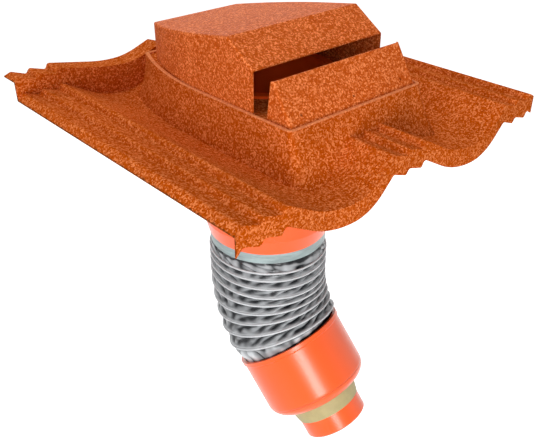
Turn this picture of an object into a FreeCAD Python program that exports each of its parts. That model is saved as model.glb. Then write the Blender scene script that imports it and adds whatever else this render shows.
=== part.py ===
import FreeCAD, Part
import math
import os

os.makedirs("parts", exist_ok=True)
V = FreeCAD.Vector

# Roof tile vent for a pressed, stone coated roof tile.
# Millimetres. +Z is square to the roof, +Y runs up the slope and +X across it.
# The origin is the middle of the face that bears on the roof batten, level with the crests.

# Tile field: three fluted crests with two pans between them
module_pitch = 210.0        # crest to crest
sheet = 1.6                 # steel with its stone coat, measured square to the roof
tile_depth = 438.0          # nose to batten face
crest_level = 0.0
rib_pitch = 26.6            # the three ribs of a crest
groove_run = 19.0           # from a rib down its long side to the groove
groove_drop = 6.5
middle_rib_drop = 1.0
rib_round = 4.0
groove_round = 3.0
pan_drop = 34.0
pan_gentle_round = 130.0    # the long side of a pan
pan_steep_round = 62.0
pan_low_share = 0.61        # where across the pan its lowest line lies
edge_out = 36.0             # the side edges, out from the outer crests
nose_drop = 23.0

# Head of the tile: upstand that hooks on the batten, and the flange behind it
upstand_rise = 20.0
head_pan_drop = 15.0        # the pans are shallower and rounder up there
head_gentle_round = 190.0
head_steep_round = 110.0
flange_depth = 29.0

# Plinth drawn up out of the field
deck_level = 24.0
plinth_from_nose = 76.0
plinth_from_batten = 38.0
plinth_tail_half = 74.0
taper_from_nose = 236.0      # where the plinth and the hood begin to narrow
plinth_corner = 7.0
skirt_mid_level = -6.0
skirt_foot_level = -38.0
skirt_front_mid = 12.0      # how far the skirt has flared at the two levels
skirt_front_foot = 32.0
skirt_side_mid = 3.0
skirt_side_foot = 13.0
bead_width = 4.2
bead_height = 2.6
bead_round = 1.1

# Hood over the duct, open towards the eaves
mouth_setback = 64.5        # plinth edge to hood mouth
bead_gap = 0.3              # between the bead and the hood and ramp that stand inside it
hood_back_margin = 21.0     # deck left behind the hood
lip_height = 51.0           # above the deck
facet_run = 42.5
brow_height = 78.0
hood_back_height = 47.0
hood_sheet = 1.6
hood_edge_round = 2.4
foot_width = 9.0

# Weather ramp in front of the mouth
ramp_sheet = 1.6
ramp_step = 2.0             # the ramp stands in from the hood's sides
ramp_height = 45.5
ramp_run = 29.5
ramp_cheek_top = 3.6        # cheek depth at the top
ramp_cheek_foot = 39.5      # cheek depth on the deck
ramp_corner = 3.0           # bend between the sloping face and a cheek

# Duct spigot, moulded, hangs through the deck
duct_from_nose = 234.0
spigot_radius = 83.0
spigot_wall = 3.5
spigot_flange_width = 8.0
spigot_flange = 3.0
spigot_fit = 0.4            # round the spigot in the deck hole
foot_clearance = 2.9        # spigot flange to hood foot
shoulder_level = -198.0     # where the hose butts
collar_swell = 7.0          # wider than the spigot, above the shoulder
collar_cone = 22.0
collar_height = 26.0
tail_step = 3.3             # the hose's tail is narrower than the spigot
shoulder_step = 4.8         # shoulder that the hose butts on
tail_length = 36.0
tail_wall = 3.2

# Flexible hose, its wire bonded inside the ridges
hose_fit = 0.3
hose_skin = 1.0
cuff_length = 16.0
ridge_count = 12
ridge_height = 4.0
hose_straight = 75.0        # before the bend
hose_bend_radius = 187.0
hose_bend_deg = 37.0
hose_lean_deg = 11.7        # the bend's plane, turned from the fall line
hose_entry = 24.0           # inside the cup
neck_length = 9.0           # hose drawn in at the cup
tape_width = 15.0
tape_thickness = 1.2

# Stepped adaptor at the low end
cup_radius = 80.5
cup_wall = 3.2
cup_depth = 102.0
shoulder_flat = 5.2         # flat ring between the cone and the cup's rounded corner
shoulder_ring_out = 6.0     # stiffening ring round the root of the cone
shoulder_ring_round = 1.6
lip_out = 1.8
lip_width = 6.0
cone_top_radius = 55.3
cone_length = 26.0
end_radius = 49.6
end_length = 28.0
end_wall = 3.2
end_chamfer = 2.0
band_thickness = 0.9
band_fit = 0.2

# Blind rivets
rivet_shank = 1.6
rivet_head = 3.8
rivet_head_height = 1.2
rivet_tail = 2.7
rivet_tail_height = 1.6
rivet_hole = 1.75
rivet_fit = 0.05

nose_y = -tile_depth
taper_y = nose_y + taper_from_nose
plinth_y = nose_y + plinth_from_nose
plinth_back_y = -plinth_from_batten
mouth_y = plinth_y + mouth_setback
hood_back_y = plinth_back_y - hood_back_margin
duct_y = nose_y + duct_from_nose
field_half = module_pitch + edge_out
hood_half = spigot_radius + spigot_flange_width + foot_clearance + foot_width + hood_sheet
ramp_half = hood_half - ramp_step
inside_bead = bead_width + bead_gap
plinth_half = hood_half + inside_bead
hood_tail_half = plinth_tail_half - inside_bead
ramp_y = plinth_y + inside_bead
collar_radius = spigot_radius + collar_swell
tail_radius = spigot_radius - tail_step
cup_corner = cup_radius - cone_top_radius - shoulder_flat
over = 5.0                  # how far cutting shapes run past what they cut


def flank(x0, z0, r0, x1, z1, r1):
    """A round at each end, level there, and the straight flank that joins them tangentially."""
    rise = abs(z1 - z0)
    run = x1 - x0
    up = 1 if z1 > z0 else -1
    rounds = r0 + r1
    straight = math.sqrt(run ** 2 + rise ** 2 - 2 * rise * rounds)
    tilt = math.atan2(rounds, straight) - math.atan2(rounds - rise, run)

    def on_round(x, z, radius, toward, angle):
        return V(x + toward * radius * math.sin(angle), 0, z + toward * up * radius * (1 - math.cos(angle)))

    first = [on_round(x0, z0, r0, 1, tilt * k / 2) for k in range(3)]
    last = [on_round(x1, z1, r1, -1, tilt * k / 2) for k in (2, 1, 0)]
    return [Part.Arc(*first).toShape(), Part.LineSegment(first[2], last[0]).toShape(),
            Part.Arc(*last).toShape()]


def rolled_line(drop, gentle_round, steep_round, lift):
    """The tile's cross-section line, from one pan beyond the left crest to one beyond the right."""
    pan_width = module_pitch - 2 * rib_pitch
    edges = []
    for crest in (-module_pitch, 0.0, module_pitch):
        left = crest - rib_pitch
        right = crest + rib_pitch
        low_before = left - (1 - pan_low_share) * pan_width
        low_after = right + pan_low_share * pan_width
        middle = -middle_rib_drop
        groove = -groove_drop
        edges += flank(low_before, -drop, steep_round, left, 0, rib_round)
        edges += flank(left, 0, rib_round, left + groove_run, groove, groove_round)
        edges += flank(left + groove_run, groove, groove_round, crest, middle, rib_round)
        edges += flank(crest, middle, rib_round, crest + groove_run, groove, groove_round)
        edges += flank(crest + groove_run, groove, groove_round, right, 0, rib_round)
        edges += flank(right, 0, rib_round, low_after, -drop, gentle_round)
    wire = Part.Wire(edges)
    wire.translate(V(0, 0, crest_level + lift))
    return wire


def field_line(lift):
    return rolled_line(pan_drop, pan_gentle_round, pan_steep_round, lift)


def head_line(lift):
    return rolled_line(head_pan_drop, head_gentle_round, head_steep_round, upstand_rise + lift)


def between(upper, lower, y0, y1):
    """The slab between two section lines, from y0 to y1, cut to the tile's width."""
    ends = []
    for k in (0, -1):
        top_end = upper.OrderedVertexes[k].Point
        low_end = lower.OrderedVertexes[k].Point
        ends.append(Part.LineSegment(top_end, low_end).toShape())
    outline = Part.Wire(Part.__sortEdges__(upper.Edges + lower.Edges + ends))
    face = Part.Face(outline)
    face.translate(V(0, y0, 0))
    slab = face.extrude(V(0, y1 - y0, 0))
    width = Part.makeBox(2 * field_half, y1 - y0 + 2 * over, 400, V(-field_half, y0 - over, -200))
    return slab.common(width)


def plan_outline(z, y0, y1, half, tail_half, taper_y, front_round):
    """Straight sides that curve in towards the back, seen from above."""
    narrowing = half - tail_half
    length = y1 - taper_y
    radius = (narrowing ** 2 + length ** 2) / (2 * narrowing)
    turn = math.asin(length / radius)
    mid = V(half - radius + radius * math.cos(turn / 2), taper_y + radius * math.sin(turn / 2), z)
    bulge = front_round * (1 - math.sqrt(0.5))

    def flip(p):
        return V(-p.x, p.y, p.z)

    corner = [V(half - front_round, y0, z), V(half - bulge, y0 + bulge, z), V(half, y0 + front_round, z)]
    taper = [V(half, taper_y, z), mid, V(tail_half, y1, z)]
    edges = [Part.LineSegment(flip(corner[0]), corner[0]).toShape()]
    if front_round > 0:
        edges.append(Part.Arc(*corner).toShape())
    edges.append(Part.LineSegment(corner[2], taper[0]).toShape())
    edges.append(Part.Arc(*taper).toShape())
    edges.append(Part.LineSegment(taper[2], flip(taper[2])).toShape())
    edges.append(Part.Arc(*[flip(p) for p in reversed(taper)]).toShape())
    edges.append(Part.LineSegment(flip(taper[0]), flip(corner[2])).toShape())
    if front_round > 0:
        edges.append(Part.Arc(*[flip(p) for p in reversed(corner)]).toShape())
    return Part.Wire(edges)


def plinth_outline(z, front, side):
    return plan_outline(z, plinth_y - front, plinth_back_y + side, plinth_half + side,
                        plinth_tail_half + side, taper_y, plinth_corner + side)


def plinth_body(inset, foot_extra):
    """The drawn-up form of the plinth, its skirt flaring to the field."""
    foot = skirt_foot_level - foot_extra
    sections = [plinth_outline(deck_level - inset, -inset, -inset),
                plinth_outline(skirt_mid_level, skirt_front_mid - inset, skirt_side_mid - inset),
                plinth_outline(foot, skirt_front_foot - inset, skirt_side_foot - inset)]
    return Part.makeLoft(sections, True, False)


def deck_bead():
    """Raised bead along the edge of the deck."""
    outer = Part.Face(plinth_outline(deck_level - sheet / 2, 0, 0))
    inner = Part.Face(plinth_outline(deck_level - sheet / 2, -bead_width, -bead_width))
    ring = outer.cut(inner).extrude(V(0, 0, bead_height + sheet / 2))
    top = [e for e in ring.Edges if e.BoundBox.ZMin > deck_level + bead_height - 0.01]
    return ring.makeFillet(min(bead_round, 0.6 * bead_height, 0.28 * bead_width), top)


def rivet_places():
    """Rivets of the hood foot, the ramp foot and the spigot flange, as x, y and the height of the seat."""
    foot_mid = hood_sheet + foot_width / 2
    seat = deck_level + hood_sheet
    hood = []
    for y in (mouth_y + 0.12 * (hood_back_y - mouth_y), mouth_y + 0.42 * (hood_back_y - mouth_y)):
        for sign in (-1, 1):
            hood.append((sign * (hood_half - foot_mid), y, seat))
    for sign in (-1, 1):
        hood.append((sign * 0.55 * hood_tail_half, hood_back_y - foot_mid, seat))
    ramp = []
    for share in (-0.8, 0.0, 0.8):
        ramp.append((share * ramp_half, ramp_y + 2 * ramp_sheet + foot_width / 2,
                     deck_level + ramp_sheet))
    spigot = []
    ring = spigot_radius + spigot_flange_width / 2
    for k in range(6):
        a = math.radians(30 + 60 * k)
        spigot.append((ring * math.cos(a), duct_y + ring * math.sin(a), deck_level + spigot_flange))
    return hood, ramp, spigot


def rivet_holes(places):
    return [Part.makeCylinder(rivet_hole, 4 * over, V(x, y, z - 2 * over)) for x, y, z in places]


def tile_panel():
    """One pressing: field, nose, upstand, flange and the plinth with its deck."""
    top = field_line(0)
    under = field_line(-sheet)
    head_top = head_line(0)
    head_under = head_line(-sheet)
    field = between(top, under, nose_y + sheet, -sheet)
    nose = between(top, field_line(-nose_drop), nose_y, nose_y + sheet)
    upstand = between(head_top, under, -sheet, 0)
    flange = between(head_top, head_under, 0, flange_depth)

    outer = plinth_body(0, 0)
    inner = plinth_body(sheet, over)
    below = between(field_line(-sheet / 2), field_line(-150), nose_y - over, over)
    wall = outer.cut(inner).cut(below)
    panel = field.cut(inner).fuse([wall, nose, upstand, flange])
    panel = panel.fuse(deck_bead())
    hole = Part.makeCylinder(spigot_radius + spigot_fit, 2 * over, V(0, duct_y, deck_level - over))
    hood, ramp, spigot = rivet_places()
    panel = panel.cut([hole] + rivet_holes(hood + ramp + spigot))
    return panel.removeSplitter()


def side_prism(points, half):
    """A prism across the roof from a side outline given as y and z."""
    corners = [V(-half, y, z) for y, z in points]
    wire = Part.makePolygon(corners + corners[:1])
    return Part.Face(wire).extrude(V(2 * half, 0, 0))


def hood_plan(z, inset, y0, height):
    wire = plan_outline(z, y0, hood_back_y - inset, hood_half - inset, hood_tail_half - inset, taper_y, 0)
    return Part.Face(wire).extrude(V(0, 0, height))


def hood():
    """Cowl of folded sheet, open at the front, with a foot turned in on the deck."""
    lip = deck_level + lip_height
    brow = deck_level + brow_height
    brow_y = mouth_y + facet_run
    rear = deck_level + hood_back_height
    facet_slope = (brow - lip) / facet_run
    roof_slope = (rear - brow) / (hood_back_y - brow_y)
    facet_drop = hood_sheet * math.hypot(1, facet_slope)
    roof_drop = hood_sheet * math.hypot(1, roof_slope)

    outer = side_prism([(mouth_y, deck_level), (mouth_y, lip), (brow_y, brow), (hood_back_y, rear),
                        (hood_back_y, deck_level)], hood_half + over)
    outer = outer.common(hood_plan(deck_level, 0, mouth_y, 2 * brow_height))
    high = [e for e in outer.Edges if e.BoundBox.ZMin > deck_level + hood_back_height / 2
            and e.BoundBox.YMax > mouth_y + over]
    outer = outer.makeFillet(hood_edge_round, high)

    # where the inner faces of facet and roof meet
    inner_brow_y = brow_y + (facet_drop - roof_drop) / (facet_slope - roof_slope)
    inner_brow = brow - roof_drop + roof_slope * (inner_brow_y - brow_y)
    front = mouth_y - over
    back = hood_back_y + over
    inner = side_prism([(front, deck_level - over), (front, lip - over * facet_slope - facet_drop),
                        (inner_brow_y, inner_brow), (back, rear - roof_drop + over * roof_slope),
                        (back, deck_level - over)], hood_half + over)
    inner = inner.common(hood_plan(deck_level - over, hood_sheet, front, 2 * brow_height))
    foot = hood_plan(deck_level, hood_sheet / 2, mouth_y, hood_sheet)
    foot = foot.cut(hood_plan(deck_level - over, hood_sheet + foot_width, front, 2 * over))
    places = rivet_places()[0]
    return outer.cut(inner).fuse(foot).cut(rivet_holes(places)).removeSplitter()


def front_bends(prism):
    """The two sloping edges at the front of a prism, one at each side."""
    low = prism.BoundBox.YMin + 0.01
    return [e for e in prism.Edges if e.BoundBox.XLength < 0.01 and e.BoundBox.YMin < low
            and e.BoundBox.ZLength > ramp_height / 2]


def weather_ramp():
    """Sloping baffle with two cheeks, open behind, that keeps driven rain out of the mouth."""
    y0 = ramp_y
    top = deck_level + ramp_height
    slope = ramp_height / ramp_run
    back_shift = ramp_sheet * math.hypot(1, slope) / slope
    outer = side_prism([(y0, deck_level), (y0 + ramp_run, top), (y0 + ramp_run + ramp_cheek_top, top),
                        (y0 + ramp_cheek_foot, deck_level)], ramp_half)
    outer = outer.makeFillet(ramp_corner, front_bends(outer))
    far = y0 + ramp_cheek_foot + over
    inner = side_prism([(y0 + back_shift - over / slope, deck_level - over),
                        (y0 + back_shift + ramp_run + over / slope, top + over), (far, top + over),
                        (far, deck_level - over)], ramp_half - ramp_sheet)
    inner = inner.makeFillet(ramp_corner - ramp_sheet, front_bends(inner))
    foot_far = y0 + back_shift + foot_width + ramp_sheet
    foot = side_prism([(y0 + ramp_sheet, deck_level), (y0 + ramp_sheet, deck_level + ramp_sheet / 2),
                       (y0 + back_shift, deck_level + ramp_sheet), (foot_far, deck_level + ramp_sheet),
                       (foot_far, deck_level)], ramp_half - ramp_corner)
    places = rivet_places()[1]
    return outer.cut(inner).fuse(foot).cut(rivet_holes(places)).removeSplitter()


def turned(points):
    """Revolve a closed outline, given as radius and height, about Z."""
    corners = [V(r, 0, z) for r, z in points]
    return Part.Face(Part.makePolygon(corners + corners[:1])).revolve(V(0, 0, 0), V(0, 0, 1), 360)


def rivet(x, y, seat, grip):
    """Set blind rivet: low head, shank and the tail that it is drawn up to."""
    head = seat + rivet_fit
    tail = seat - grip - rivet_fit
    solid = turned([(0, head + rivet_head_height), (rivet_head / 2, head + rivet_head_height),
                    (rivet_head, head), (rivet_shank, head), (rivet_shank, tail), (rivet_tail, tail),
                    (rivet_tail, tail - rivet_tail_height), (0, tail - rivet_tail_height)])
    solid.translate(V(x, y, 0))
    return solid


def rivet_group(places, top_sheet):
    return Part.makeCompound([rivet(x, y, z, top_sheet + sheet) for x, y, z in places])


def duct_spigot():
    """Moulded spigot: flange on the deck, barrel, cone and a tail for the hose."""
    flange_top = deck_level + spigot_flange
    inner = spigot_radius - spigot_wall
    tail_end = shoulder_level - tail_length
    tail_inner = tail_radius - tail_wall
    cone_top = shoulder_level + collar_cone
    collar_top = cone_top + collar_height
    neck = collar_radius - spigot_radius
    flange_radius = spigot_radius + spigot_flange_width
    body = turned([(inner, flange_top), (flange_radius, flange_top), (flange_radius, deck_level),
                   (spigot_radius, deck_level), (spigot_radius, collar_top + neck),
                   (collar_radius, collar_top), (collar_radius, cone_top),
                   (tail_radius + shoulder_step, shoulder_level),
                   (tail_radius, shoulder_level), (tail_radius, tail_end), (tail_inner, tail_end),
                   (tail_inner, shoulder_level), (collar_radius - spigot_wall, cone_top),
                   (collar_radius - spigot_wall, collar_top), (inner, collar_top + neck)])
    body.translate(V(0, duct_y, 0))
    return body.cut(rivet_holes(rivet_places()[2]))


def hose_axis(s):
    """Point, direction and two square directions at a distance along the hose."""
    lean = math.radians(hose_lean_deg)
    out = V(math.sin(lean), -math.cos(lean), 0)
    side = V(math.cos(lean), math.sin(lean), 0)
    down = V(0, 0, -1)
    bend = math.radians(hose_bend_deg)
    start = V(0, duct_y, shoulder_level - hose_fit)
    a = min(max((s - hose_straight) / hose_bend_radius, 0), bend)
    beyond = max(s - hose_straight - hose_bend_radius * bend, 0)
    along = out * math.sin(a) + down * math.cos(a)
    point = start + down * min(s, hose_straight)
    point = point + out * (hose_bend_radius * (1 - math.cos(a))) + down * (hose_bend_radius * math.sin(a))
    return point + along * beyond, along, side, side.cross(along)


def rim_distance():
    """Where the cup's rim lies along the hose."""
    return hose_straight + hose_bend_radius * math.radians(hose_bend_deg)


def hose_rings(inset):
    """Places along the hose and their radii: cuff, ridges over the spiral wire, neck and low cuff."""
    cuff = tail_radius + hose_fit + hose_skin - inset
    low_cuff = cup_radius - cup_wall - hose_fit - inset
    neck = rim_distance() - neck_length
    pitch = (neck - cuff_length) / ridge_count
    rings = [(0, cuff), (cuff_length, cuff)]
    for k in range(ridge_count):
        rings.append((cuff_length + (k + 0.5) * pitch, cuff + ridge_height))
        rings.append((cuff_length + (k + 1) * pitch, cuff))
    rings.append((rim_distance(), low_cuff))
    rings.append((rim_distance() + hose_entry, low_cuff))
    return rings


def hose_body(inset):
    sections = []
    for s, radius in hose_rings(inset):
        centre, along, side, square = hose_axis(s)
        sections.append(Part.Wire(Part.Circle(centre, along, radius).toShape()))
    return Part.makeLoft(sections, True, True)


def hose():
    """Thin skin bonded over its wire, in ridges that close up inside the bend."""
    return hose_body(0).cut(hose_body(hose_skin))


def hose_tape():
    """Smooth tape round the hose's upper cuff."""
    inner = tail_radius + 2 * hose_fit + hose_skin
    top = shoulder_level - hose_fit
    outer = inner + tape_thickness
    band = turned([(inner, top), (outer, top), (outer, top - tape_width), (inner, top - tape_width)])
    band.translate(V(0, duct_y, 0))
    return band


def at_cup(solid):
    """Place what was made with its rim at the origin, facing +Z, on the hose's low end."""
    centre, along, side, square = hose_axis(rim_distance())
    solid.Placement = FreeCAD.Placement(centre, FreeCAD.Rotation(V(0, 0, 1), along))
    return solid


def cone_radius(s):
    share = (s - cup_depth) / cone_length
    return cone_top_radius + (end_radius - cone_top_radius) * share


def adaptor():
    """One moulding: cup with a lipped rim, rounded shoulder, short cone and plain end."""
    bore = cup_radius - cup_wall
    tip = cup_depth + cone_length + end_length
    outer = turned([(0, 0), (cup_radius + lip_out, 0), (cup_radius + lip_out, lip_width),
                    (cup_radius, lip_width + lip_out), (cup_radius, cup_depth), (0, cup_depth)])
    corner = [e for e in outer.Edges if abs(e.BoundBox.ZMin - cup_depth) < 0.01
              and e.BoundBox.ZLength < 0.01 and e.BoundBox.XLength > cup_radius]
    outer = outer.makeFillet(cup_corner, corner)
    ring = Part.makeTorus(cone_top_radius + shoulder_ring_out, shoulder_ring_round,
                          V(0, 0, cup_depth - shoulder_ring_round / 4))
    stub = turned([(0, cup_depth - cup_corner), (cone_top_radius, cup_depth - cup_corner),
                   (cone_top_radius, cup_depth), (end_radius, cup_depth + cone_length),
                   (end_radius, tip - end_chamfer), (end_radius - end_chamfer, tip), (0, tip)])
    hollow = turned([(0, -over), (bore, -over), (bore, cup_depth - cup_wall), (0, cup_depth - cup_wall)])
    inner_corner = [e for e in hollow.Edges if abs(e.BoundBox.ZMin - cup_depth + cup_wall) < 0.01
                    and e.BoundBox.ZLength < 0.01 and e.BoundBox.XLength > bore]
    hollow = hollow.makeFillet(cup_corner - cup_wall, inner_corner)
    end_bore = end_radius - end_wall
    cone_bore = cone_top_radius - end_wall
    channel = turned([(0, cup_depth - cup_corner), (cone_bore, cup_depth - cup_corner),
                      (cone_bore, cup_depth), (end_bore, cup_depth + cone_length),
                      (end_bore, tip + over), (0, tip + over)])
    return at_cup(outer.fuse([stub, ring]).cut([hollow, channel]).removeSplitter())


def seal_band():
    """Beige sleeve round the cone."""
    top = cup_depth + band_fit
    low = cup_depth + cone_length
    return at_cup(turned([(cone_radius(top) + band_fit, top), (cone_radius(top) + band_fit + band_thickness, top),
                          (cone_radius(low) + band_fit + band_thickness, low),
                          (cone_radius(low) + band_fit, low)]))


def save(node, shape):
    print(node, "valid" if shape.isValid() else "not valid", len(shape.Solids), "solids",
          round(shape.Volume / 1000, 1), "cm3")
    shape.exportStep("parts/" + node + ".step")


hood_rivets, ramp_rivets, spigot_rivets = rivet_places()
save("tile_panel", tile_panel())
save("hood", hood())
save("weather_ramp", weather_ramp())
save("hood_rivets", rivet_group(hood_rivets, hood_sheet))
save("ramp_rivets", rivet_group(ramp_rivets, ramp_sheet))
save("duct_spigot", duct_spigot())
save("spigot_rivets", rivet_group(spigot_rivets, spigot_flange))
save("hose", hose())
save("hose_tape", hose_tape())
save("adaptor", adaptor())
save("seal_band", seal_band())
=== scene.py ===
# %% [markdown]
# A roof tile vent, dressed for a studio picture.
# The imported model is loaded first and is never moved. Everything made here is in metres and in its frame:
# +Z is square to the roof, +Y runs up the slope and the origin is the face that bears on the batten.

# %% Load the frame
import math
import bmesh
import bpy
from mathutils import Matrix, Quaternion, Vector, noise


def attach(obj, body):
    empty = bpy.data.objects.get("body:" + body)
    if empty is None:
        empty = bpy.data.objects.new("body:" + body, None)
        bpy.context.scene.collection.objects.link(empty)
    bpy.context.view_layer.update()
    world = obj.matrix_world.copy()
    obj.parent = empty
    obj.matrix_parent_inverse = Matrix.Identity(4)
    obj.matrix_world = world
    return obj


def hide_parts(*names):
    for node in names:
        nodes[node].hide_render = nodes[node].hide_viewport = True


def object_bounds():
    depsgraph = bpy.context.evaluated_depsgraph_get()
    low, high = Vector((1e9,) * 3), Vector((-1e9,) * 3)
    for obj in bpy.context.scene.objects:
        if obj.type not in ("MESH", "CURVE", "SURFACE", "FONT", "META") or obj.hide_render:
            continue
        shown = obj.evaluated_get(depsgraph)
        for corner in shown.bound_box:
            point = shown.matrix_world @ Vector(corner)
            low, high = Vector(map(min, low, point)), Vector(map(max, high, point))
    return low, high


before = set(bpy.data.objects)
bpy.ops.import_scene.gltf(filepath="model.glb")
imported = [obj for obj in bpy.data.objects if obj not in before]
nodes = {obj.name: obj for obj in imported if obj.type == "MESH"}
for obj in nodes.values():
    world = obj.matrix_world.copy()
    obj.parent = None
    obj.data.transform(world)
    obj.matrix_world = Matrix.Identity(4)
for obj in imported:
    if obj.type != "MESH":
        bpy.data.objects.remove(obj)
cad_box = [list(corner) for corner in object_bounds()]
print("loaded", len(nodes), "nodes, box", [[round(v, 3) for v in c] for c in cad_box])

# %% [markdown]
# The camera comes first, because every later choice is judged through it.
# It stands below left of the tile, looks up the slope and down on the deck, and has a short telephoto lens.
# Place, direction and lens were worked out from the tile's ribs and edges in the picture.

# %% Camera
camera_place = Vector((-0.5707, -0.8472, 0.3264))
camera_forward = Vector((0.5673, 0.6394, -0.5190))
camera_roll_deg = -0.25
camera_lens_mm = 47.29

camera_data = bpy.data.cameras.new("camera")
camera_data.lens = camera_lens_mm
camera_data.sensor_width = 36.0
camera = bpy.data.objects.new("camera", camera_data)
bpy.context.scene.collection.objects.link(camera)
camera.location = camera_place
camera.rotation_mode = "QUATERNION"
look = camera_forward.to_track_quat("-Z", "Y")
camera.rotation_quaternion = look @ Quaternion((0, 0, 1), math.radians(camera_roll_deg))
bpy.context.scene.camera = camera
bpy.context.scene.view_settings.view_transform = "Standard"
print("camera looks", [round(v, 3) for v in camera_forward])

# %% [markdown]
# The studio is white. Its floor lies well below the part and takes its soft shadow.

# %% Floor
floor_drop = 0.30
floor_half_side = 9.0

floor_mesh = bpy.data.meshes.new("floor")
floor_build = bmesh.new()
bmesh.ops.create_grid(floor_build, x_segments=1, y_segments=1, size=floor_half_side)
floor_build.to_mesh(floor_mesh)
floor_build.free()
floor = bpy.data.objects.new("floor", floor_mesh)
floor.location = (0, 0, cad_box[0][2] - floor_drop)
bpy.context.scene.collection.objects.link(floor)
print("floor at", round(floor.location.z, 3), "m")

# %% [markdown]
# Floor and world are white where they are seen, by the camera or in a reflection. They glow only for rays
# that a camera, a mirror or a glass sends out, so the glow adds nothing to the soft light on the part.

# %% The floor's look
floor_grey = 0.62
floor_glow = 0.85
white = (1, 1, 1, 1)


def seen(tree):
    """One for rays that a camera, a mirror or a glass sends out, so that all three see the same backdrop."""
    rays = tree.nodes.new("ShaderNodeLightPath")
    total = rays.outputs["Is Camera Ray"]
    for kind in ("Is Glossy Ray", "Is Transmission Ray"):
        either = tree.nodes.new("ShaderNodeMath")
        either.operation = "MAXIMUM"
        tree.links.new(total, either.inputs[0])
        tree.links.new(rays.outputs[kind], either.inputs[1])
        total = either.outputs[0]
    return total


floor_look = bpy.data.materials.new("studio_floor")
floor_look.use_nodes = True
tree = floor_look.node_tree
tree.nodes.clear()
paint = tree.nodes.new("ShaderNodeBsdfDiffuse")
paint.inputs["Color"].default_value = (floor_grey, floor_grey, floor_grey, 1)
glow = tree.nodes.new("ShaderNodeEmission")
glow.inputs["Color"].default_value = white
lift = tree.nodes.new("ShaderNodeMath")
lift.operation = "MULTIPLY"
lift.inputs[1].default_value = floor_glow
both = tree.nodes.new("ShaderNodeAddShader")
out = tree.nodes.new("ShaderNodeOutputMaterial")
tree.links.new(seen(tree), lift.inputs[0])
tree.links.new(lift.outputs[0], glow.inputs["Strength"])
tree.links.new(paint.outputs[0], both.inputs[0])
tree.links.new(glow.outputs[0], both.inputs[1])
tree.links.new(both.outputs[0], out.inputs["Surface"])
floor_mesh.materials.append(floor_look)
print("floor glows with", floor_glow)

# %% [markdown]
# The world lights the part weakly from every side, and shows full white where it is seen.

# %% World
world_light = 0.35
world_seen = 1.0

world = bpy.data.worlds.new("studio")
bpy.context.scene.world = world
world.use_nodes = True
tree = world.node_tree
backdrop = tree.nodes["Background"]
backdrop.inputs["Color"].default_value = white
level = tree.nodes.new("ShaderNodeMath")
level.operation = "MULTIPLY_ADD"
level.inputs[1].default_value = world_seen - world_light
level.inputs[2].default_value = world_light
tree.links.new(seen(tree), level.inputs[0])
tree.links.new(level.outputs[0], backdrop.inputs["Strength"])
print("world lights with", world_light, "and shows", world_seen)

# %% [markdown]
# Overhead lights the deck, side fill the left flank, mouth fill the ramp, and low fill the hose's far side.
# The strip below the camera draws the long highlight on the round orange pieces, and the sheen lamp stands
# behind the part and gives the cowl's roof its pale gloss.

# %% Lamps
# name, place, the point it faces, width and height in metres, watts
lamps = [
    ("overhead", (-0.2, 0.1, 1.8), (0, -0.2, 0), 0.9, 0.9, 14),
    ("mouth_fill", (-1.05, -1.4, 0.55), (0, -0.25, 0.04), 0.5, 0.5, 5),
    ("low_fill", (1.5, -1.8, -0.2), (0, -0.27, -0.45), 2.0, 1.2, 3),
    ("side_fill", (-2.1, -0.4, 0.25), (0, -0.2, -0.1), 1.2, 1.2, 14),
    ("camera_strip", (-0.69, -1.55, -0.16), (-0.01, -0.34, -0.41), 0.42, 0.52, 12),
    ("sheen", (1.2, 1.6, 0.9), (0, -0.15, 0.08), 1.2, 0.8, 18),
]
for name, place, target, width, height, watts in lamps:
    data = bpy.data.lights.new(name, "AREA")
    data.shape = "RECTANGLE"
    data.size = width
    data.size_y = height
    data.energy = watts
    lamp = bpy.data.objects.new(name, data)
    lamp.location = place
    lamp.rotation_mode = "QUATERNION"
    lamp.rotation_quaternion = (Vector(target) - Vector(place)).to_track_quat("-Z", "Y")
    bpy.context.scene.collection.objects.link(lamp)

# %% [markdown]
# Shader groups are built once and placed in several materials. A small helper adds a node, sets its
# values and joins its inputs, so that each group reads from top to bottom like a recipe.


# %% Node helpers
def add_node(tree, kind, settings=None, values=None, links=None):
    """Add a node, set its properties and inputs, and link named inputs from other sockets."""
    node = tree.nodes.new(kind)
    for key, value in (settings or {}).items():
        setattr(node, key, value)
    for key, value in (values or {}).items():
        node.inputs[key].default_value = value
    for key, socket in (links or {}).items():
        tree.links.new(socket, node.inputs[key])
    return node


def new_group(name, takes, gives):
    """An empty shader group with named sockets, its input node and its output node."""
    group = bpy.data.node_groups.new(name, "ShaderNodeTree")
    for label, kind, value in takes:
        socket = group.interface.new_socket(name=label, in_out="INPUT", socket_type=kind)
        if value is not None:
            socket.default_value = value
    for label, kind in gives:
        group.interface.new_socket(name=label, in_out="OUTPUT", socket_type=kind)
    start = group.nodes.new("NodeGroupInput")
    end = group.nodes.new("NodeGroupOutput")
    return group, start, end


def new_material(name):
    """A material with one Principled shader, and that shader."""
    material = bpy.data.materials.new(name)
    material.use_nodes = True
    shader = material.node_tree.nodes["Principled BSDF"]
    return material, shader


def place_group(tree, group, values=None, links=None):
    """Put a shader group into a tree."""
    return add_node(tree, "ShaderNodeGroup", {"node_tree": group}, values, links)


def dress(name, material):
    """Give a CAD node its finish."""
    mesh = nodes[name].data
    mesh.materials.clear()
    mesh.materials.append(material)


print("node helpers are ready")

# %% [markdown]
# The sheet is coated with crushed stone set in a terracotta glaze. Close up it is thousands of angular
# chips, each of its own tone, with dark gaps between them. A Voronoi texture gives one cell for each chip:
# the cell's random colour picks the tone. A second, finer noise breaks up the cells so that they don't look
# like a mosaic.

# %% Group: stone chips, one cell for each
dust_finer_by = 1.9
cell_share = 0.55
dust_share = 0.6

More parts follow.
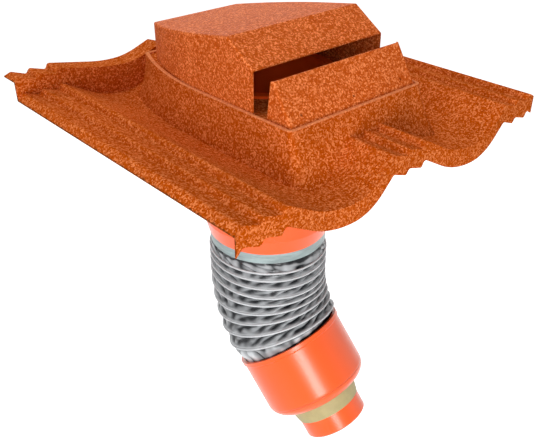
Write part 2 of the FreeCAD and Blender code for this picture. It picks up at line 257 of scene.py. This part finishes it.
chips, chips_in, chips_out = new_group(
    "stone_chips",
    [("Vector", "NodeSocketVector", None),
     ("Chips per metre", "NodeSocketFloat", 560.0),
     ("Ground", "NodeSocketColor", (0.47, 0.072, 0.002, 1)),
     ("Pale chip", "NodeSocketColor", (0.83, 0.24, 0.075, 1)),
     ("Dark gap", "NodeSocketColor", (0.33, 0.038, 0.001, 1)),
     ("Level", "NodeSocketFloat", 1.0)],
    [("Color", "NodeSocketColor"), ("Height", "NodeSocketFloat"), ("Roughness", "NodeSocketFloat")])
t = chips
cells = add_node(t, "ShaderNodeTexVoronoi", {"feature": "F1"}, {"Randomness": 1.0},
                 {"Vector": chips_in.outputs["Vector"], "Scale": chips_in.outputs["Chips per metre"]})
pick = add_node(t, "ShaderNodeSeparateColor", links={"Color": cells.outputs["Color"]})
finer = add_node(t, "ShaderNodeMath", {"operation": "MULTIPLY"}, {1: dust_finer_by},
                 {0: chips_in.outputs["Chips per metre"]})
dust = add_node(t, "ShaderNodeTexNoise", values={"Detail": 3.0, "Roughness": 0.65},
                links={"Vector": chips_in.outputs["Vector"], "Scale": finer.outputs[0]})
tone = add_node(t, "ShaderNodeMath", {"operation": "MULTIPLY_ADD"}, {1: cell_share},
                {0: pick.outputs["Red"]})
dust_part = add_node(t, "ShaderNodeMath", {"operation": "MULTIPLY"}, {1: dust_share},
                     {0: dust.outputs["Fac"]})
t.links.new(dust_part.outputs[0], tone.inputs[2])
print("the chips have a cell and a tone each")

# %% [markdown]
# The tone of a cell then picks its colour: pale chips at the top of the range, dark gaps at the bottom and
# the glaze between. Level sets how bright the whole coat is on one piece.

# %% Group: stone chips, their colours
pale = add_node(t, "ShaderNodeMapRange", {"interpolation_type": "SMOOTHSTEP"},
                {"From Min": 0.50, "From Max": 0.90}, {"Value": tone.outputs[0]})
deep = add_node(t, "ShaderNodeMapRange", {"interpolation_type": "SMOOTHSTEP"},
                {"From Min": 0.46, "From Max": 0.2, "To Max": 0.75}, {"Value": tone.outputs[0]})
mixed = add_node(t, "ShaderNodeMix", {"data_type": "RGBA"},
                 links={"Factor": pale.outputs["Result"], "A": chips_in.outputs["Ground"],
                        "B": chips_in.outputs["Pale chip"]})
colour = add_node(t, "ShaderNodeMix", {"data_type": "RGBA"},
                  links={"Factor": deep.outputs["Result"], "A": mixed.outputs["Result"],
                         "B": chips_in.outputs["Dark gap"]})
levelled = add_node(t, "ShaderNodeHueSaturation",
                    links={"Color": colour.outputs["Result"], "Value": chips_in.outputs["Level"]})
t.links.new(levelled.outputs["Color"], chips_out.inputs["Color"])
print("the chips have their colours")

# %% [markdown]
# The distance from a cell's middle gives the chip its raised shape, and some chips are glossier than others.

# %% Group: stone chips, their relief and gloss
hump = add_node(t, "ShaderNodeMapRange", {"interpolation_type": "SMOOTHSTEP"},
                {"From Min": 0.75, "From Max": 0.1}, {"Value": cells.outputs["Distance"]})
height = add_node(t, "ShaderNodeMath", {"operation": "MULTIPLY_ADD"},
                  links={0: hump.outputs["Result"], 1: pick.outputs["Green"], 2: dust_part.outputs[0]})
gloss = add_node(t, "ShaderNodeMapRange", values={"To Min": 0.62, "To Max": 0.9},
                 links={"Value": pick.outputs["Blue"]})
t.links.new(height.outputs[0], chips_out.inputs["Height"])
t.links.new(gloss.outputs["Result"], chips_out.inputs["Roughness"])
print("group", chips.name, "has", len(chips.nodes), "nodes")

# %% [markdown]
# No real surface has one even tone. This group gives a slow, cloudy shift of brightness over a piece,
# and is used by the coat, the mouldings, the film and the bands, each with its own strength.

# %% Group: uneven tone
uneven, uneven_in, uneven_out = new_group(
    "uneven_tone",
    [("Vector", "NodeSocketVector", None),
     ("Color", "NodeSocketColor", white),
     ("Patches per metre", "NodeSocketFloat", 12.0),
     ("Strength", "NodeSocketFloat", 0.1)],
    [("Color", "NodeSocketColor"), ("Fac", "NodeSocketFloat")])
t = uneven
cloud = add_node(t, "ShaderNodeTexNoise", values={"Detail": 4.0, "Roughness": 0.6},
                 links={"Vector": uneven_in.outputs["Vector"],
                        "Scale": uneven_in.outputs["Patches per metre"]})
centred = add_node(t, "ShaderNodeMath", {"operation": "SUBTRACT"}, {1: 0.5}, {0: cloud.outputs["Fac"]})
scaled = add_node(t, "ShaderNodeMath", {"operation": "MULTIPLY"},
                  links={0: centred.outputs[0], 1: uneven_in.outputs["Strength"]})
doubled = add_node(t, "ShaderNodeMath", {"operation": "MULTIPLY_ADD"}, {1: 2.0, 2: 1.0},
                   {0: scaled.outputs[0]})
toned = add_node(t, "ShaderNodeHueSaturation",
                 links={"Value": doubled.outputs[0], "Color": uneven_in.outputs["Color"]})
t.links.new(toned.outputs["Color"], uneven_out.inputs["Color"])
t.links.new(cloud.outputs["Fac"], uneven_out.inputs["Fac"])
print("group", uneven.name, "has", len(uneven.nodes), "nodes")

# %% [markdown]
# The coated sheet itself: chips, then the slow shift of tone, then a bump so that each chip catches light.

# %% Material: stone coat
def stone_coat(name, gloss, level):
    """The coat's material, its shader, the socket that carries its colour, and its coordinates."""
    material, shader = new_material(name)
    t = material.node_tree
    where = add_node(t, "ShaderNodeTexCoord")
    grain = place_group(t, chips, {"Level": level}, {"Vector": where.outputs["Object"]})
    shade = place_group(t, uneven, {"Patches per metre": 9.0, "Strength": 0.16},
                        {"Vector": where.outputs["Object"], "Color": grain.outputs["Color"]})
    relief = add_node(t, "ShaderNodeBump", values={"Strength": 0.45, "Distance": 0.0012},
                      links={"Height": grain.outputs["Height"]})
    t.links.new(shade.outputs["Color"], shader.inputs["Base Color"])
    t.links.new(grain.outputs["Roughness"], shader.inputs["Roughness"])
    t.links.new(relief.outputs["Normal"], shader.inputs["Normal"])
    shader.inputs["Specular IOR Level"].default_value = gloss
    return material, shader, shade.outputs["Color"], where.outputs["Object"]


# The hood and ramp take the coat a little brighter than the panel: painted light on the cowl, for what is
# one coat.
folded_coat = stone_coat("stone_coat", gloss=0.11, level=1.04)[0]
for name in ("hood", "weather_ramp"):
    dress(name, folded_coat)
print("stone coat on hood, weather_ramp")

# %% [markdown]
# The bead round the deck is the proudest line of the panel and catches the light, so a painted highlight
# makes it paler. Only the bead rises above the deck, so the height of a point is enough to find it: the
# panel gets a coat of its own whose colour turns paler over the height of the bead.

# %% Material: panel coat with a painted highlight on the bead
deck_level = 0.024
bead_top = 0.0266
bead_highlight_from = deck_level + 0.0006
bead_highlight_to = bead_top - 0.0004
bead_highlight_colour = (0.86, 0.33, 0.15, 1)
# The panel's lower level is painted shade on the same coat.
panel_coat, shader, coat_colour, place = stone_coat("stone_coat_panel", gloss=0.0, level=0.93)
t = panel_coat.node_tree
split = add_node(t, "ShaderNodeSeparateXYZ", links={"Vector": place})
proud = add_node(t, "ShaderNodeMapRange", {"interpolation_type": "SMOOTHSTEP"},
                 {"From Min": bead_highlight_from, "From Max": bead_highlight_to, "To Max": 0.45}, {"Value": split.outputs["Z"]})
# painted highlight: the bead's top is mixed towards a pale colour where it catches the light
highlighted = add_node(t, "ShaderNodeMix", {"data_type": "RGBA"}, {"B": bead_highlight_colour},
                  {"Factor": proud.outputs["Result"], "A": coat_colour})
print("the bead is rubbed between", round(bead_highlight_from, 4), "and", round(bead_highlight_to, 4), "m")

# %% [markdown]
# The panel's two side edges are cut, and there the dark steel shows through the coat. A noise is added to
# the distance from the middle, so that the coat ends in a ragged line.

# %% Material: the panel's cut edges
side_edge = cad_box[1][0]
ragged_by = 0.004
bare_from = side_edge + 0.0012
bare_to = side_edge + 0.0022
steel_colour = (0.10, 0.030, 0.006, 1)
from_middle = add_node(t, "ShaderNodeMath", {"operation": "ABSOLUTE"}, links={0: split.outputs["X"]})
nicks = add_node(t, "ShaderNodeTexNoise", values={"Scale": 260.0, "Detail": 2.0}, links={"Vector": place})
ragged = add_node(t, "ShaderNodeMath", {"operation": "MULTIPLY_ADD"}, {1: ragged_by},
                  {0: nicks.outputs["Fac"], 2: from_middle.outputs[0]})
cut = add_node(t, "ShaderNodeMapRange", {"interpolation_type": "SMOOTHSTEP"},
               {"From Min": bare_from, "From Max": bare_to, "To Max": 0.8}, {"Value": ragged.outputs[0]})
bare = add_node(t, "ShaderNodeMix", {"data_type": "RGBA"}, {"B": steel_colour},
                {"Factor": cut.outputs["Result"], "A": highlighted.outputs["Result"]})
t.links.new(bare.outputs["Result"], shader.inputs["Base Color"])
dress("tile_panel", panel_coat)
print("panel coat on tile_panel")

# %% [markdown]
# The rivets are painted in the tile's colour after they are set, so they are smooth, a little glossy and
# only faintly mottled.

# %% Material: painted rivets
rivet_colour = (0.42, 0.09, 0.02, 1)
rivet_paint, shader = new_material("rivet_paint")
t = rivet_paint.node_tree
where = add_node(t, "ShaderNodeTexCoord")
shade = place_group(t, uneven, {"Color": rivet_colour, "Patches per metre": 300.0, "Strength": 0.35},
                    {"Vector": where.outputs["Object"]})
relief = add_node(t, "ShaderNodeBump", values={"Strength": 0.3, "Distance": 0.0002},
                  links={"Height": shade.outputs["Fac"]})
t.links.new(shade.outputs["Color"], shader.inputs["Base Color"])
t.links.new(relief.outputs["Normal"], shader.inputs["Normal"])
shader.inputs["Roughness"].default_value = 0.45
for name in ("hood_rivets", "ramp_rivets", "spigot_rivets"):
    dress(name, rivet_paint)
print("paint on the rivets")

# %% [markdown]
# The hose hangs from the spigot, runs straight down and then bends into the adaptor. Its line is a short
# straight, an arc and a straight again, as in the CAD, and everything on the hose is placed along it.

# %% The hose's line
duct_y = -0.204
hose_top = -0.1983
straight = 0.075
bend_radius = 0.187
bend_angle = math.radians(37.0)
lean = math.radians(11.7)
rim_at = straight + bend_radius * bend_angle
hose_out = Vector((math.sin(lean), -math.cos(lean), 0))
hose_side = Vector((math.cos(lean), math.sin(lean), 0))


def hose_place(s):
    """Point, direction and two square directions at a distance along the hose."""
    a = min(max((s - straight) / bend_radius, 0.0), bend_angle)
    beyond = max(s - rim_at, 0.0)
    along = hose_out * math.sin(a) + Vector((0, 0, -math.cos(a)))
    point = Vector((0, duct_y, hose_top - min(s, straight)))
    point += hose_out * (bend_radius * (1 - math.cos(a))) + Vector((0, 0, -bend_radius * math.sin(a)))
    return point + along * beyond, along, hose_side, hose_side.cross(along)


print("the hose reaches the rim after", round(rim_at * 1000), "mm")

# %% [markdown]
# The spigot and the adaptor are moulded in glossy orange plastic. Under the gloss the surface is never
# quite flat: a faint long wave bends the highlights, and fine scuffs dull them in places.

# %% Material: orange plastic
orange = (0.94, 0.103, 0.005, 1)


def orange_plastic(name):
    """Glossy orange: the material, its shader, its relief and its coordinates."""
    material, shader = new_material(name)
    t = material.node_tree
    where = add_node(t, "ShaderNodeTexCoord")
    shade = place_group(t, uneven, {"Color": orange, "Patches per metre": 14.0, "Strength": 0.05},
                        {"Vector": where.outputs["Object"]})
    scuffs = add_node(t, "ShaderNodeTexNoise", values={"Scale": 160.0, "Detail": 5.0, "Roughness": 0.7},
                      links={"Vector": where.outputs["Object"]})
    dull = add_node(t, "ShaderNodeMapRange",
                    values={"From Min": 0.35, "From Max": 0.75, "To Min": 0.32, "To Max": 0.42},
                    links={"Value": scuffs.outputs["Fac"]})
    relief = add_node(t, "ShaderNodeBump", values={"Strength": 0.12, "Distance": 0.002},
                      links={"Height": shade.outputs["Fac"]})
    t.links.new(shade.outputs["Color"], shader.inputs["Base Color"])
    t.links.new(dull.outputs["Result"], shader.inputs["Roughness"])
    t.links.new(relief.outputs["Normal"], shader.inputs["Normal"])
    shader.inputs["Specular IOR Level"].default_value = 0.2
    shader.inputs["Coat Weight"].default_value = 0.65
    shader.inputs["Coat Roughness"].default_value = 0.27
    shader.inputs["Coat IOR"].default_value = 1.5
    return material, shader, shade, relief, where


spigot_plastic = orange_plastic("orange_plastic")[0]
dress("duct_spigot", spigot_plastic)
print("orange plastic on duct_spigot")

# %% [markdown]
# The adaptor's mould leaves a shallow groove round its shoulder, a little above the base of the cup.
# The groove is found from the distance along the adaptor's own line: the dot product of a point with the
# line's direction. A narrow hollow in that distance bends the light, and painted shade makes it a little
# darker.

# %% Material: adaptor with a moulded groove
rim_point, cup_line = hose_place(rim_at)[:2]
groove_at = 0.0865
groove_half = 0.0016
groove_depth = 0.0011
groove_shade_colour = (0.55, 0.05, 0.01, 1)
adaptor_plastic, shader, shade, relief, where = orange_plastic("orange_plastic_adaptor")
t = adaptor_plastic.node_tree
from_rim = add_node(t, "ShaderNodeVectorMath", {"operation": "SUBTRACT"}, {1: rim_point},
                    {0: where.outputs["Object"]})
down_cup = add_node(t, "ShaderNodeVectorMath", {"operation": "DOT_PRODUCT"}, {1: cup_line},
                    {0: from_rim.outputs["Vector"]})
off_groove = add_node(t, "ShaderNodeMath", {"operation": "SUBTRACT"}, {1: groove_at},
                      {0: down_cup.outputs["Value"]})
off_side = add_node(t, "ShaderNodeMath", {"operation": "ABSOLUTE"}, links={0: off_groove.outputs[0]})
hollow = add_node(t, "ShaderNodeMapRange", {"interpolation_type": "SMOOTHSTEP"},
                  {"From Min": 0.0, "From Max": groove_half}, {"Value": off_side.outputs[0]})
groove_relief = add_node(t, "ShaderNodeBump", values={"Strength": 0.9, "Distance": groove_depth},
                         links={"Height": hollow.outputs["Result"], "Normal": relief.outputs["Normal"]})
# painted shade in the groove
shadow = add_node(t, "ShaderNodeMapRange", values={"To Min": 0.28, "To Max": 0.0},
                  links={"Value": hollow.outputs["Result"]})
darker = add_node(t, "ShaderNodeMix", {"data_type": "RGBA"}, {"B": groove_shade_colour},
                  {"Factor": shadow.outputs["Result"], "A": shade.outputs["Color"]})
t.links.new(groove_relief.outputs["Normal"], shader.inputs["Normal"])
t.links.new(darker.outputs["Result"], shader.inputs["Base Color"])
dress("adaptor", adaptor_plastic)
print("orange plastic with a groove on adaptor")

# %% [markdown]
# The sleeve round the cone is a satin beige band, faintly mottled.

# %% Material: beige band
beige = (0.43, 0.36, 0.165, 1)
beige_band, shader = new_material("beige_band")
t = beige_band.node_tree
where = add_node(t, "ShaderNodeTexCoord")
shade = place_group(t, uneven, {"Color": beige, "Patches per metre": 90.0, "Strength": 0.2},
                    {"Vector": where.outputs["Object"]})
relief = add_node(t, "ShaderNodeBump", values={"Strength": 0.15, "Distance": 0.001},
                  links={"Height": shade.outputs["Fac"]})
t.links.new(shade.outputs["Color"], shader.inputs["Base Color"])
t.links.new(relief.outputs["Normal"], shader.inputs["Normal"])
shader.inputs["Roughness"].default_value = 0.5
dress("seal_band", beige_band)
print("beige on seal_band")

# %% [markdown]
# The film is stretched over a spiral wire. The wire starts below the tape, and its turns open towards the
# bend's low end, where the hose is pulled: each turn is longer than the one before by the same amount.

# %% The wire's turns
turns = 9.3
wire_start = 0.0248
first_pitch = 0.01085
pitch_growth = 0.00076
tuck_rate = 8


def wire_place(t):
    """How far along the hose the wire is after t turns."""
    return wire_start + first_pitch * t + pitch_growth * t * t


def wire_turns(s):
    """The same line read the other way: how many turns the wire has made at a distance along the hose."""
    a, b = first_pitch, pitch_growth
    return (math.sqrt(max(a * a + 4 * b * (s - wire_start), 1e-9)) - a) / (2 * b)


def last_pass(u):
    """The turn at which the wire passes a side of the hose for the last time; it tucks in at its end."""
    w = (u - turns) % 1.0
    return turns - 1 + min(w, (1 - w) * tuck_rate)


print("the wire ends", round(wire_place(turns) * 1000), "mm down the hose")

# %% [markdown]
# Four small tools shape the film: a soft step, a mix of two values, a point on a ring where a noise is read,
# and a crease, which is the line where a noise crosses zero.


# %% Tools for the film
def smooth(x):
    """A soft step from 0 to 1."""
    x = min(max(x, 0.0), 1.0)
    return x * x * (3 - 2 * x)


def blend(a, b, share):
    """Between a and b."""
    return a + (b - a) * share


def ring_point(angle, tightness, height):
    """Where a noise is read for one side of the hose: larger numbers give smaller shapes."""
    return Vector((math.cos(angle) * tightness, math.sin(angle) * tightness, height))


def crease(place, width):
    """One along the lines where a noise crosses zero, falling to nothing a little away from them."""
    return 1 - min(abs(noise.noise(place)) / width, 1.0)


print("tools for the film are ready")

# %% [markdown]
# Pushed together, the film between two turns sinks in and folds into a row of lens-shaped dimples, half a
# dimple apart from one turn to the next. The bend pulls them slanted, one way on one side of the hose and
# the other way on the other, and slow noise makes every dimple a little different. A second number is
# painted
# shade: it darkens the band between two turns, most in the dimple under each turn, and adds a faint random
# mottle.

# %% Film between two turns
dimples = 19.5
ridge_radius = 0.0836
sag = 0.0030
dimple_depth = 0.0034
slant_most = 1.8
pull_side = 0.56
pull_drift = 0.16
spot_ring, spot_rate, finer_spot = 2.6, 55, 2.7
dimple_fill, dimple_edge = 0.60, 1.3
rib_above, rib_below = 0.07, 0.22
lens_from, lens_to = 0.03, 0.62
fold_dark, dimple_dark, mottle_dark = 0.66, 0.36, 0.30


def stretched_film(u, s):
    """Radius and painted shading of the film between two turns; u is the side of the hose, from 0 to 1."""
    spot = ring_point(2 * math.pi * u, spot_ring, s * spot_rate)
    slow = noise.noise(spot)
    quick = noise.noise(spot * finer_spot)
    wound = wire_turns(s)
    turn = math.floor(wound - u)
    share = wound - u - turn

    pull = math.sin(2 * math.pi * (u - pull_side + pull_drift * smooth(s / rim_at)))
    slant = slant_most * min(max(3 * pull, -1.0), 1.0) + 0.5 * slow
    wave = math.cos(2 * math.pi * (dimples * (turn + u) + slant * (share - 0.5) + 0.5 * slow))
    pocket = smooth((wave + dimple_fill + 0.5 * quick) / dimple_edge)
    profile = math.sin(math.pi * share ** 0.8) ** 1.3
    radius = ridge_radius - profile * (sag + dimple_depth * pocket)

    beside = smooth(share / rib_above) * smooth((1 - share) / rib_below)
    lens = smooth((share - lens_from) / 0.14) * (1 - smooth((share - lens_to - 0.2 * quick) / 0.32))
    painted_shading_and_mottle = beside * (fold_dark + dimple_dark * lens * pocket + mottle_dark * quick * (1 - lens * pocket))
    return radius, painted_shading_and_mottle


print("dimples round the hose:", dimples)

# %% [markdown]
# The film is loose at both ends of the wire. Just below the tape it has long slanted wrinkles, with painted
# shade in them and a line of painted shade where the tape binds it. Where it is gathered into the cup it is
# crumpled, with painted shade in the creases and painted highlights on the lumps.

# %% Loose film at both ends
loose_radius = 0.0828
ruck_height = 0.0010
wrinkle_depth = 0.0022
wrinkle_slant = 22
bind_at = 0.0180
bind_side = 5.3
bind_least, bind_more, bind_dark = 0.0018, 0.0022, 0.5
loose_dark, ruck_dark, wrinkle_dark = 0.50, 0.45, 0.45
crumpled_radius = 0.0805
crumple_depth = 0.0035
crumpled_dark, lump_pale, crumple_dark = 0.32, 0.9, 0.7


def film_below_tape(a, s):
    """Radius and painted shading of the loose film, and the painted shade line along the tape's edge."""
    wrinkle = crease(ring_point(a - s * wrinkle_slant, 4, s * 60), 0.30)
    ruck = noise.noise(ring_point(a, 9, s * 40 + 3))
    radius = loose_radius + ruck_height * ruck - wrinkle_depth * wrinkle
    # painted shade in the wrinkles, with a random mottle from the ruck
    painted_shading_and_mottle = loose_dark + ruck_dark * ruck + wrinkle_dark * wrinkle ** 2
    line_width = bind_least + bind_more * max(math.cos(a - bind_side), 0.0)
    bound = abs(s - bind_at - bind_more * ruck) / line_width
    return radius, painted_shading_and_mottle, bind_dark * smooth(1.5 - bound)


def film_at_cup(a, s):
    """Radius and painted shading of the crumpled film: shade in the creases, highlights on the lumps."""
    crumple = crease(ring_point(a, 4, s * 35 + 9), 0.16)
    lump = noise.noise(ring_point(a, 7, s * 35 + 5))
    radius = crumpled_radius + crumple_depth * lump - crumple_depth * crumple
    # painted highlights on the lumps and painted shade in the creases
    return radius, crumpled_dark - lump_pale * lump + crumple_dark * crumple ** 2


print("loose film at radius", loose_radius, "below the tape and", crumpled_radius, "at the cup")

# %% [markdown]
# The whole film joins these. It is a plain cuff under the tape, never thinner than the spigot's tail inside
# it, and it draws in to a waist that slips into the cup; the gap on the side that is pulled over is painted
# shade.

# %% Film from tape to cup
cuff_radius = 0.0812
cuff_end = 0.0155
cuff_step = 0.002
tail_radius = 0.0801
tail_end = 0.037
most_radius = 0.0848
waist_radius = 0.0772
neck = 0.014
pulled_side = 5.5
pulled_in = 0.0035
gap_least, gap_more, gap_edge = 0.002, 0.009, 0.004
turns_to_settle = 0.3
film_end = rim_at + 0.020


def film_at(u, s):
    """How far the film lies from the hose's line, and its painted shading: 0 on a rib, 1 in a deep fold."""
    a = 2 * math.pi * u
    wound = wire_turns(s)
    radius, painted_shading_and_mottle = stretched_film(u, s)

    wired = smooth((wound - u + 0.02) / turns_to_settle)
    upper_radius, upper_dark, tape_edge_shade = film_below_tape(a, s)
    radius = blend(upper_radius, radius, wired)
    painted_shading_and_mottle = blend(upper_dark, painted_shading_and_mottle, wired) + tape_edge_shade

    low = smooth((wound - last_pass(u) - 0.04) / turns_to_settle)
    lower_radius, lower_dark = film_at_cup(a, s)
    radius = blend(radius, lower_radius, low)
    painted_shading_and_mottle = blend(painted_shading_and_mottle, lower_dark, low)

    pulled = 0.5 + 0.5 * math.cos(a - pulled_side)
    gathered = smooth((s - (rim_at - neck)) / neck)
    radius = blend(radius, min(waist_radius - pulled_in * pulled, radius), gathered)
    # painted shade in the gap where the film slips into the cup
    painted_shading_and_mottle += smooth((s - (rim_at - gap_least - gap_more * pulled ** 2)) / gap_edge)
    radius = blend(cuff_radius, radius, smooth((s - cuff_end) / cuff_step))
    least = tail_radius if s < tail_end else 0.0
    return min(max(radius, least), most_radius), min(max(painted_shading_and_mottle, 0.0), 1.0)


print("the film ends", round(film_end * 1000), "mm down the hose")

# %% [markdown]
# A grid is rolled into the tube, its two long edges are joined, and the sheet is given a thin wall inwards.

# %% Hose film
around = 264
along_rows = 158
film_wall = 0.0003

film_mesh = bpy.data.meshes.new("hose_film")
film_build = bmesh.new()
painted_shading_layer = film_build.verts.layers.float.new("painted_shading_and_mottle")
bmesh.ops.create_grid(film_build, x_segments=around, y_segments=along_rows, size=0.5, calc_uvs=True)
for v in film_build.verts:
    u = v.co.x + 0.5
    s = (v.co.y + 0.5) * film_end
    point, _, side, square = hose_place(s)
    r, v[painted_shading_layer] = film_at(u % 1.0, s)
    a = 2 * math.pi * u
    v.co = point + side * (r * math.cos(a)) + square * (r * math.sin(a))
bmesh.ops.remove_doubles(film_build, verts=film_build.verts, dist=1e-5)
bmesh.ops.recalc_face_normals(film_build, faces=film_build.faces)
bmesh.ops.solidify(film_build, geom=film_build.faces[:], thickness=film_wall)
for face in film_build.faces:
    face.smooth = True
film_build.to_mesh(film_mesh)
film_build.free()
hose_film = bpy.data.objects.new("hose_film", film_mesh)
bpy.context.scene.collection.objects.link(hose_film)
print("film:", len(film_mesh.vertices), "points")

# %% [markdown]
# The wire shows as a thin round rib. It is one long curve with a round bevel, in the film's own colour
# because the film is bonded over it, and its last end tucks in.

# %% Hose wire
wire_radius = 0.0015
steps_per_turn = 60
tuck = 0.12
tuck_depth = 0.0025

wire_curve = bpy.data.curves.new("hose_wire", "CURVE")
wire_curve.dimensions = "3D"
wire_curve.bevel_depth = wire_radius
wire_curve.bevel_resolution = 2
wire_curve.use_fill_caps = True
path_points = []
for k in range(int(turns * steps_per_turn) + 1):
    u = k / steps_per_turn
    point, _, side, square = hose_place(wire_place(u))
    a = 2 * math.pi * u
    r = ridge_radius - tuck_depth * smooth((u - turns + tuck) / tuck)
    path_points.append(point + side * (r * math.cos(a)) + square * (r * math.sin(a)))
spline = wire_curve.splines.new("POLY")
spline.points.add(len(path_points) - 1)
for p, co in zip(spline.points, path_points):
    p.co = (*co, 1.0)
hose_wire = bpy.data.objects.new("hose_wire", wire_curve)
bpy.context.scene.collection.objects.link(hose_wire)
print("wire:", len(path_points), "points")

# %% [markdown]
# The film is grey plastic with a soft silver gloss. The painted shading stored with each point leads its
# colour from pale grey on the wire to near black in the folds, and creases too small to model are a bump
# from noise.

# %% Material: grey film
rib_grey = (0.60, 0.62, 0.64, 1)
painted_shade_grey = (0.004, 0.005, 0.007, 1)
grey_film, shader = new_material("grey_film")
t = grey_film.node_tree
where = add_node(t, "ShaderNodeTexCoord")
shading_attribute = add_node(t, "ShaderNodeAttribute", {"attribute_name": "painted_shading_and_mottle"})
# painted shade: the stored number darkens the film towards near black
tint = add_node(t, "ShaderNodeMix", {"data_type": "RGBA"}, {"A": rib_grey, "B": painted_shade_grey},
                {"Factor": shading_attribute.outputs["Fac"]})
shade = place_group(t, uneven, {"Patches per metre": 40.0, "Strength": 0.2},
                    {"Vector": where.outputs["Object"], "Color": tint.outputs["Result"]})
creases = add_node(t, "ShaderNodeTexNoise", values={"Scale": 240.0, "Detail": 4.0, "Distortion": 0.8},
                   links={"Vector": where.outputs["Object"]})
relief = add_node(t, "ShaderNodeBump", values={"Strength": 0.35, "Distance": 0.0008},
                  links={"Height": creases.outputs["Fac"]})
t.links.new(shade.outputs["Color"], shader.inputs["Base Color"])
t.links.new(relief.outputs["Normal"], shader.inputs["Normal"])
shader.inputs["Roughness"].default_value = 0.30
shader.inputs["Specular IOR Level"].default_value = 0.14
shader.inputs["Coat Weight"].default_value = 0.25
shader.inputs["Coat Roughness"].default_value = 0.18
for piece in (hose_film, hose_wire):
    piece.data.materials.append(grey_film)
    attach(piece, "root")
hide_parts("hose")
print("film material on", hose_film.name, hose_wire.name)

# %% [markdown]
# The upper cuff is bound with a smooth, pale grey tape. Its mottling is drawn out round the hose.

# %% Material: tape
tape_grey = (0.29, 0.365, 0.365, 1)
tape_grain = (1.0, 1.0, 4.5)
tape_look, shader = new_material("tape")
t = tape_look.node_tree
where = add_node(t, "ShaderNodeTexCoord")
stretched = add_node(t, "ShaderNodeVectorMath", {"operation": "MULTIPLY"}, {1: tape_grain},
                     {0: where.outputs["Object"]})
shade = place_group(t, uneven, {"Color": tape_grey, "Patches per metre": 38.0, "Strength": 0.75},
                    {"Vector": stretched.outputs["Vector"]})
relief = add_node(t, "ShaderNodeBump", values={"Strength": 0.5, "Distance": 0.002},
                  links={"Height": shade.outputs["Fac"]})
t.links.new(shade.outputs["Color"], shader.inputs["Base Color"])
t.links.new(relief.outputs["Normal"], shader.inputs["Normal"])
shader.inputs["Roughness"].default_value = 0.35
dress("hose_tape", tape_look)
print("tape on hose_tape")
